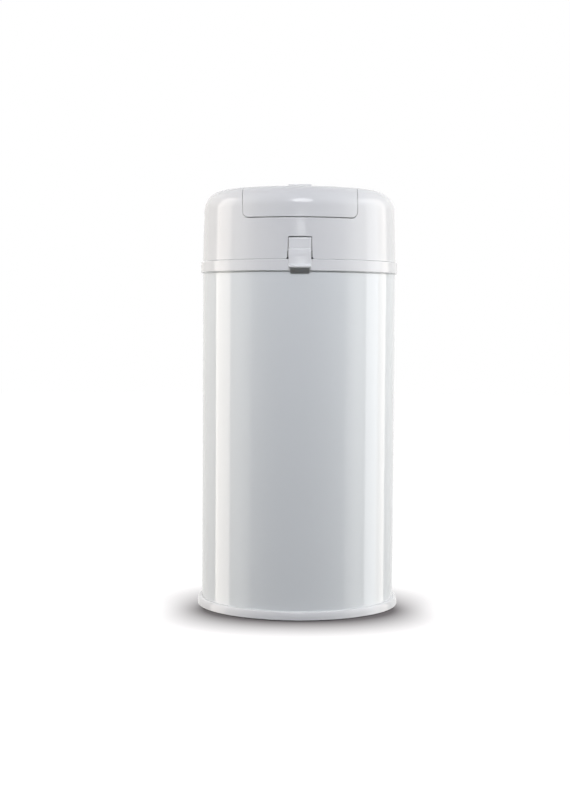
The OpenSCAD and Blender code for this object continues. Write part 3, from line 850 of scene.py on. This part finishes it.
class NAPPY_BIN_OT_flap(Maker):
    """Cut the flap from the same dome, roll its rear edge and raise its thumb ridge"""

    bl_idname = "nappy_bin.flap"
    bl_label = "Flap"

    ridge_half = 15

    def make(self):
        h = self.head
        z0 = h.flap_z - 8
        flap = lathe("flap_panel", [*reversed(dome(h, h.wall, z0)), *dome(h, 0, z0)])
        roll = h.height - h.hinge_z - 0.1
        top = h.height + 20
        side = [(-FAR, top), (-FAR, 500), (h.hinge_y, 500)]
        side += [
            (h.hinge_y + roll * math.sin(a), h.hinge_z - roll * math.cos(a))
            for a in (math.pi * k / 16 for k in range(17))
        ]
        side.append((h.hinge_y, top))
        front = flap_outline(h, 0)
        combine(flap, "INTERSECT", prism(side, "YZ", -FAR, FAR))
        combine(flap, "INTERSECT", prism(front, "XZ", -FAR, h.hinge_y + 8))
        clean_cut(flap, lambda p: gap_to(front, p.x, p.z))

        posts = [
            rod(3.4, "XY", at, h.height - 5, h.height - h.wall + 0.2)
            for at in ((-45, -70), (45, -70), (-45, 22), (45, 22))
        ]
        combine(flap, "UNION", *posts)
        ridge_y = h.shoulder - h.side_r + 6
        ridge_z = h.height + 0.6
        ridge = outline(
            (ridge_y - 4.4, h.height - 1.8), (ridge_y + 4.4, h.height - 1.8),
            (ridge_y + 2.4, ridge_z, 1.6), (ridge_y - 2.4, ridge_z, 1.6),
        )
        bar = prism(ridge, "YZ", -self.ridge_half, self.ridge_half)
        combine(flap, "UNION", bar)
        soften(flap, h.edge)
        finish(flap, "flap", "white_plastic", "flap_cover")


class NAPPY_BIN_OT_latch(Maker):
    """Spin the latch's section, trim it, add the boss of its pivot, and fit its hook, whose dark
    zinc finish is painted shade under the lip
    """

    bl_idname = "nappy_bin.latch"
    bl_label = "Latch Lever"

    pivot = (-124, 474.2)
    foot = 445.4
    narrower = 1.9  # the hook, on either side; its dark zinc is painted shade under the lip

    def make(self):
        h = self.head
        lever = lathe(
            "latch_paddle",
            outline(
                (126.6, 491, 0.4), (129.8, 491, 1.8), (130.8, 476.9, 0.3), (132.4, 476.3, 0.6),
                (133.8, 468.4, 40), (134.3, 457.2, 1.0), (137.9, 454.9, 0.9),
                (138.0, 452.8, 0.8), (135.6, 452.0, 0.4), (133.0, 452.0, 0.2),
                (133.0, 464.6, 0.4), (124.8, 464.6, 0.4), (124.8, 476.2), (126.6, 478.2, 0.4),
            ),
        )
        half = h.lever_half
        front = both_sides((-half, 491, 1.1), (-half, 451.9, 2.2))
        combine(lever, "INTERSECT", prism(front, "XZ", -150, -100))
        combine(lever, "UNION", rod(4, "YZ", self.pivot, 0.5 - half, half - 0.5))
        cut(lever, rod(1.56, "YZ", self.pivot, -25, 25))
        soften(lever, 0.45, skip=lambda p: (p.yz - Vector(self.pivot)).length < 2.4)
        finish(lever, "latch", "white_plastic", "latch_lever", look=PALER)

        # the hook under the lip, finished in dark zinc: a dark part that stands for the shade
        # beneath the lip, painted shade
        painted_shade_hook = lathe(
            "latch_catch",
            outline(
                (133.0, 451.9, 0.2), (133.0, 447.3, 0.2), (130.9, 447.3, 0.2),
                (130.9, self.foot, 0.3), (131.8, self.foot, 0.6), (134.5, 448.8, 2),
                (135.4, 451.9, 0.2),
            ),
        )
        hook = half - self.narrower
        front = both_sides((-hook, 460), (-hook, self.foot - 0.2, 3))
        combine(painted_shade_hook, "INTERSECT", prism(front, "XZ", -150, -100))
        soften(painted_shade_hook, 0.3)
        finish(painted_shade_hook, "latch", "screw_steel")


class NAPPY_BIN_OT_spring(Maker):
    """Wind the latch's coil spring"""

    bl_idname = "nappy_bin.spring"
    bl_label = "Latch Spring"

    coil_r = 2.9
    wire_r = 0.35
    turns = 6
    steps = 36

    def make(self):
        low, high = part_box("latch_spring")
        axis_z = (low.z + high.z) / 2
        start = low.y + self.wire_r * MM
        reach = high.y - low.y - 2 * self.wire_r * MM
        deselect()
        bpy.ops.mesh.primitive_circle_add(
            vertices=10, radius=self.wire_r * MM, location=(0, start, axis_z)
        )
        spring = bpy.context.object
        spring.name = spring.data.name = "coil_spring"
        with editing(spring) as shape:
            shape.pick_all()
            shape.move(self.coil_r, 0, 0)
        modify(
            spring, "SCREW", axis="Y", angle=TURN, iterations=self.turns,
            screw_offset=reach / self.turns, steps=self.steps, render_steps=self.steps,
            use_merge_vertices=False,
        )
        with editing(spring) as shape:
            bpy.ops.mesh.select_mode(type="EDGE")
            bpy.ops.mesh.select_all(action="DESELECT")
            bpy.ops.mesh.select_non_manifold()
            bpy.ops.mesh.edge_face_add()
            shape.close_up()
        only(spring)
        bpy.ops.object.transform_apply(location=True, rotation=True, scale=True)
        shade(spring, math.radians(50))
        finish(spring, "head", "screw_steel", "latch_spring")


def screw(name, head_r, head_h, shank_r, reach):
    """A pan head screw with its head's face at the origin and its tip up."""
    dome_h = 0.55 * head_h
    pitch = max(0.7, 0.6 * shank_r)
    core_r = 0.8 * shank_r
    points = [(0, 0), (head_r * 0.45, 0.04 * head_h), (head_r * 0.8, dome_h * 0.4)]
    points += [(head_r, dome_h), (head_r, head_h), (core_r, head_h)]
    z = head_h + 0.4
    while z + pitch < head_h + reach - 1.2:
        points += [(core_r, z), (shank_r, z + pitch * 0.45), (core_r, z + pitch * 0.9)]
        z += pitch
    points += [(shank_r * 0.75, head_h + reach - 0.9), (0, head_h + reach)]
    piece = lathe(name, points, SCREW_STEPS)
    arm, blade = head_r * 0.55, head_r * 0.13
    for a, b in ((arm, blade), (blade, arm)):
        bar = outline((-a, -b), (a, -b), (a, b), (-a, b))
        cut(piece, prism(bar, "XY", -1, head_h * 0.6))
    shade(piece, math.radians(28))
    return piece


def islands(node):
    """The box of each separate solid of a CAD node, in metres."""
    mesh = bmesh.new()
    mesh.from_mesh(frame["nodes"][node].data)
    bmesh.ops.remove_doubles(mesh, verts=mesh.verts, dist=0.001 * MM)
    left = set(mesh.verts)
    boxes = []
    while left:
        found = [left.pop()]
        for vert in found:
            near = {end for edge in vert.link_edges for end in edge.verts} & left
            left -= near
            found += near
        boxes.append([
            Vector([end(v.co[i] for v in found) for i in range(3)]) for end in (min, max)
        ])
    mesh.free()
    return sorted(boxes, key=lambda box: tuple(round(c, 5) for c in box[0]))


# A screw node: its piece's name, body, thread radius, head height and the way its tip points,
# where X alone is towards the middle from either side.
SCREWS = {
    "base_screws": ("base_screw", "bin", 1.65, 1.7, "+Z"),
    "hinge_bracket_screws": ("hinge_bracket_screw", "bin", 1.15, 1.5, "-Y"),
    "hinge_leaf_screws": ("hinge_leaf_screw", "head", 1.15, 1.5, "-Y"),
    "deck_screws": ("deck_screw", "head", 1.15, 1.5, "+Z"),
    "housing_screws": ("housing_screw", "head", 1.15, 1.5, "+Z"),
    "latch_bracket_screws": ("latch_bracket_screw", "head", 1.15, 1.5, "-Y"),
    "flap_screws": ("flap_screw", "flap", 1.15, 1.4, "+Z"),
    "cheek_screws": ("cheek_screw", "flap", 0.9, 0.8, "X"),
    "pinion_screw": ("pinion_retainer", "scoop", 1.6, 1.5, "X"),
}


class NAPPY_BIN_OT_screws(Maker):
    """Make each size of screw once and set a copy in every hole"""

    bl_idname = "nappy_bin.screws"
    bl_label = "Screws"

    def make(self):
        for node, (name, body, shank_r, head_h, tip) in SCREWS.items():
            boxes = islands(node)
            low, high = boxes[0]
            along = "XYZ".index(tip[-1])
            head_r = (high - low)[(along + 1) % 3] / 2 / MM
            reach = (high - low)[along] / MM - head_h
            pattern = screw("pattern", head_r, head_h, shank_r, reach)
            copies = []
            for low, high in boxes:
                copy = copy_of(pattern)
                middle = (low + high) / 2
                way = tip[0] if len(tip) == 2 else "-" if middle.x > 0 else "+"
                place = middle.copy()
                place[along] = low[along] if way == "+" else high[along]
                with editing(copy) as shape:
                    shape.pick_all()
                    turn_tip(along, way)
                    bpy.ops.transform.translate(value=place)
                copies.append(copy)
            bpy.data.objects.remove(pattern)
            piece = join(copies)
            piece.name = piece.data.name = name
            finish(piece, body, "screw_steel", node)


def turn_tip(along, way):
    """Turns the selected points from +Z to the X or the Y axis."""
    if along == 2:
        return
    # with no window, a positive value turns clockwise about the axis
    value = -TURN / 4 if (along == 0) == (way == "+") else TURN / 4
    bpy.ops.transform.rotate(value=value, orient_axis="YX"[along], center_override=(0, 0, 0))


def refine(node, name, body, slot, width):
    """A copy of a CAD node with its seams joined and its edges rounded, put in its place."""
    piece = copy_of(frame["nodes"][node])
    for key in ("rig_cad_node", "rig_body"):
        del piece[key]
    piece.parent = None
    piece.matrix_world = Matrix.Identity(4)
    piece.name = piece.data.name = name
    with editing(piece) as shape:
        shape.weld()
        bpy.ops.mesh.dissolve_limited(angle_limit=math.radians(0.5))
    if piece.data.has_custom_normals:
        bpy.ops.mesh.customdata_custom_splitnormals_clear()
    soften(piece, width, segments=2)
    finish(piece, body, slot, node)


class Refiner(Maker):
    """Shared by the operators that refine a group of like pieces"""

    parts = ()

    def make(self):
        for part in self.parts:
            refine(*part)


class NAPPY_BIN_OT_hinge(Refiner):
    """Round the edges of the rear hinge, the floor plate, the bag ring and the pins"""

    bl_idname = "nappy_bin.hinge"
    bl_label = "Hinge, Floor and Bag Ring"
    parts = (
        ("hinge_bracket", "hinge_bracket_casting", "bin", "white_plastic", 0.5),
        ("hinge_leaf", "hinge_leaf_plate", "head", "white_plastic", 0.5),
        ("head_hinge_pin", "hinge_pin", "bin", "screw_steel", 0.4),
        ("bag_ring_pins", "bag_ring_pivots", "bin", "screw_steel", 0.3),
        ("bag_ring", "bag_clamp_ring", "bag_ring", "inner_plastic", 0.3),
        ("floor_plate", "inner_floor", "bin", "inner_plastic", 0.3),
    )


class NAPPY_BIN_OT_lid_works(Refiner):
    """Round the edges of the tray, the housing and the flap's inner parts"""

    bl_idname = "nappy_bin.lid_works"
    bl_label = "Lid Works"
    parts = (
        ("lid_deck", "chute_tray", "head", "inner_plastic", 0.3),
        ("scoop_housing", "scoop_case", "head", "inner_plastic", 0.3),
        ("flap_hinge_rod", "flap_rod", "head", "screw_steel", 0.3),
        ("latch_bracket", "latch_carrier", "head", "inner_plastic", 0.3),
        ("latch_pin", "latch_pivot_pin", "head", "screw_steel", 0.2),
        ("flap_liner", "flap_inner_skin", "flap", "inner_plastic", 0.3),
        ("flap_gear_cheek", "sector_cheek", "flap", "inner_plastic", 0.2),
        ("flap_plain_cheek", "plain_cheek", "flap", "inner_plastic", 0.2),
    )


class NAPPY_BIN_OT_scoop(Refiner):
    """Round the edges of the turning scoop and its pinion"""

    bl_idname = "nappy_bin.scoop"
    bl_label = "Scoop"
    parts = (
        ("scoop_shell", "scoop_trough", "scoop", "inner_plastic", 0.4),
        ("scoop_ends", "scoop_end_discs", "scoop", "inner_plastic", 0.3),
        ("scoop_pinion", "drive_pinion", "scoop", "inner_plastic", 0.2),
    )


class NAPPY_BIN_OT_seals(Refiner):
    """Round the edges of the gaskets, the wipers and the axle bushes"""

    bl_idname = "nappy_bin.seals"
    bl_label = "Seals"
    parts = (
        ("head_gasket", "head_seal", "head", "seal_rubber", 0.3),
        ("flap_gasket", "flap_seal", "flap", "seal_rubber", 0.4),
        ("scoop_wipers", "wiper_lips", "head", "seal_rubber", 0.1),
        ("scoop_bushes", "axle_bushes", "head", "seal_rubber", 0.2),
    )


# ---- studio ----


def panel_lamp(
    name, centre, aim, width, height, watts, tint=WHITE, shape="RECTANGLE", hidden="camera"
):
    """A flat lamp that faces a point. The camera misses it, and so can another kind of ray."""
    bpy.ops.object.light_add(type="AREA", location=centre)
    lamp = bpy.context.object
    lamp.name = name
    way = Vector(aim) - Vector(centre)
    lamp.rotation_euler = way.to_track_quat("-Z", "Y").to_euler()
    lamp.data.shape = shape
    lamp.data.size = width
    lamp.data.size_y = height
    lamp.data.energy = watts
    lamp.data.color = tint
    lamp.visible_camera = False
    setattr(lamp, "visible_" + hidden, False)


class NAPPY_BIN_OT_studio(Maker):
    """Lay the floor, hang the lamps, light the room and place the camera"""

    bl_idname = "nappy_bin.studio"
    bl_label = "Studio"

    floor_half = 6.0
    panel_x = 1.5
    # the shadow round the base, drawn on the floor seen by the camera, in metres
    shadow_scale = (0.7, 1, 0)
    shadow_shift = (-0.0012, 0.05, 0)
    shadow_edge = 0.0884  # where it begins to clear
    shadow_reach = 0.0512  # how far it takes to clear, beside the bin
    shadow_spread = (1.72, 0.68, 0.117)  # how that grows before and behind it
    shadow_fall = 1.46
    shadow_depth = 0.965
    paper = (0.3, 0.3, 0.3)
    paper_seen = (0.178, 0.163, 0.167)  # by the camera
    fade_parts = (0.31, 0.38, 0.31)  # each panel's part of a fading row

    def make(self):
        studio = bpy.context.scene.nappy_bin_studio
        deselect()
        self.lay_floor()
        self.hang_lamps(studio)
        self.light_room(studio)
        self.place_camera(studio)
        bpy.context.scene.view_settings.view_transform = "Standard"

    def lay_floor(self):
        bpy.ops.mesh.primitive_plane_add(size=2 * self.floor_half)
        floor = bpy.context.object
        floor.name = "studio_floor"
        bench = new_bench("studio_paper")
        drawn = bench.add(
            "ShaderNodeVectorMath",
            {0: bench.place(), 1: self.shadow_scale, 2: self.shadow_shift},
            operation="MULTIPLY_ADD",
        )
        radius = bench.add("ShaderNodeVectorMath", {0: drawn}, "Value", operation="LENGTH")
        depth = bench.add("ShaderNodeSeparateXYZ", {"Vector": drawn}, "Y") / radius
        square = depth * depth
        more, less, lean = self.shadow_spread
        stretch = square * (more - square * less) + depth * lean
        reach = bench.maths("EXPONENT", stretch) * self.shadow_reach
        way = (radius - self.shadow_edge) / reach
        clear = bench.maths("MINIMUM", bench.maths("MAXIMUM", way, 0), 1)
        away = 1 - bench.maths("POWER", 1 - clear, self.shadow_fall) * self.shadow_depth
        pale = bench.add("ShaderNodeBsdfDiffuse", {"Color": as_colour(self.paper)})
        bright = bench.add("ShaderNodeBsdfDiffuse", {"Color": as_colour(self.paper_seen)})
        glow = bench.add("ShaderNodeEmission", {"Color": as_colour(WHITE), "Strength": away})
        seen = bench.add("ShaderNodeAddShader", {0: bright, 1: glow})
        shown = bench.add("ShaderNodeMixShader", {0: bench.ray("Camera"), 1: pale, 2: seen})
        bench.close(shown)
        floor.data.materials.append(bpy.data.materials["studio_paper" + FINISH])
        floor.visible_glossy = False

    def hang_lamps(self, studio):
        x = self.panel_x
        warm, dull, cool = (1.07, 1.0, 0.93), (1.02, 1.015, 0.965), (0.97, 0.98, 1.05)
        self.bank("left", -x, (-0.115, 0.24), studio.left, warm)
        self.bank("left_rear", -x, (0.24, 0.61), studio.left_rear, warm)
        self.bank("right", x, (-0.18, 0.367), studio.right)
        self.bank("right_rear", x, (0.367, 0.937), studio.right_rear, warm)
        for name, side, edges, watts in (
            ("left_fade", -x, (-0.115, -0.37, -0.67, -1.0), studio.left_fade),
            ("right_fade", x, (-0.18, -0.45, -0.72, -1.05), studio.right_fade),
        ):
            for k, part in enumerate(self.fade_parts):
                self.bank(f"{name}_{k}", side, (edges[k + 1], edges[k]), part * watts, dull)
        head = (0, 0, 0.53)
        panel_lamp(
            "front_panel", (0.06, -1.7, 1.6), head, 0.86, 0.78, studio.front, cool, "ELLIPSE",
            "glossy",
        )
        panel_lamp(
            "gleam_panel", (0.06, -1.6, 1.5), head, 0.8, 0.7, studio.gleam, WHITE, "ELLIPSE",
            "diffuse",
        )
        panel_lamp(
            "high_panel", (0, -1.6, 2.8), (0, 0, 0.35), 2.6, 1.0, studio.high, cool,
            hidden="glossy",
        )
        panel_lamp("streak", (0.03, -1.75, 0.686), (0, 0, 0.5), 0.28, 0.035, studio.streak)

    def bank(self, name, x, ends, watts, tint=WHITE):
        """An upright panel beside the bin, between two depths, that faces across the stage."""
        depth = sum(ends) / 2
        centre, aim = (x, depth, 0.3), (0, depth, 0.3)
        panel_lamp(name, centre, aim, ends[1] - ends[0], 2.6, watts, tint)

    def light_room(self, studio):
        world = bpy.data.worlds.new("studio_room")
        bpy.context.scene.world = world
        bench = Bench(world)
        way = bench.add("ShaderNodeTexCoord", output="Generated")
        depth = bench.add("ShaderNodeSeparateXYZ", {"Vector": way}, "Y")
        behind = bench.add(
            "ShaderNodeMapRange",
            {"Value": depth, "From Min": 0.1, "From Max": 0.6, "To Min": 0.15, "To Max": 1.0},
            interpolation_type="SMOOTHSTEP",
        )
        mirror = bench.ray("Glossy") + bench.ray("Transmission")
        even = studio.ambient * (1 - mirror) + behind * mirror
        camera = bench.ray("Camera")
        strength = even * (1 - camera) + camera
        sockets = {"Color": as_colour(WHITE), "Strength": strength}
        bench.close(bench.add("ShaderNodeBackground", sockets), "World")

    def place_camera(self, studio):
        aside = Matrix.Rotation(-studio.camera_aside, 3, "Z")
        tilt = Matrix.Rotation(math.pi / 2 - studio.camera_tilt, 3, "X")
        turned = aside @ tilt @ Matrix.Rotation(studio.camera_roll, 3, "Z")
        place = aside @ Vector((0, -studio.camera_y, studio.camera_z))
        bpy.ops.object.camera_add(location=place, rotation=turned.to_euler())
        camera = bpy.context.object
        camera.name = "studio_camera"
        camera.data.sensor_width = SENSOR
        camera.data.lens = studio.lens
        camera.data.shift_x = studio.shift_x
        bpy.context.scene.camera = camera


STEPS = (
    NAPPY_BIN_OT_finishes,
    NAPPY_BIN_OT_tube,
    NAPPY_BIN_OT_base,
    NAPPY_BIN_OT_collar,
    NAPPY_BIN_OT_head,
    NAPPY_BIN_OT_flap,
    NAPPY_BIN_OT_latch,
    NAPPY_BIN_OT_spring,
    NAPPY_BIN_OT_screws,
    NAPPY_BIN_OT_hinge,
    NAPPY_BIN_OT_lid_works,
    NAPPY_BIN_OT_scoop,
    NAPPY_BIN_OT_seals,
    NAPPY_BIN_OT_studio,
)
GROUPS = {
    "nappy_bin_sizes": BinSizes,
    "nappy_bin_head": HeadSizes,
    "nappy_bin_finishes": Finishes,
    "nappy_bin_studio": Studio,
}


class NAPPY_BIN_PT_panel(bpy.types.Panel):
    """Lists the bin's sizes, finishes and steps"""

    bl_idname = "NAPPY_BIN_PT_panel"
    bl_label = "Nappy Bin"
    bl_space_type = "VIEW_3D"
    bl_region_type = "UI"
    bl_category = "Nappy Bin"

    def draw(self, context):
        for name, group in GROUPS.items():
            box = self.layout.box()
            box.label(text=group.__doc__)
            for key in group.__annotations__:
                box.prop(getattr(context.scene, name), key)
        for step in STEPS:
            self.layout.operator(step.bl_idname)


CLASSES = (*GROUPS.values(), *STEPS, NAPPY_BIN_PT_panel)


def register():
    for each in CLASSES:
        bpy.utils.register_class(each)
    for name, group in GROUPS.items():
        setattr(bpy.types.Scene, name, PointerProperty(type=group))


def unregister():
    for name in GROUPS:
        delattr(bpy.types.Scene, name)
    for each in reversed(CLASSES):
        bpy.utils.unregister_class(each)


def main():
    register()
    for step in STEPS:
        module, name = step.bl_idname.split(".")
        getattr(getattr(bpy.ops, module), name)()


if __name__ == "__main__":
    main()
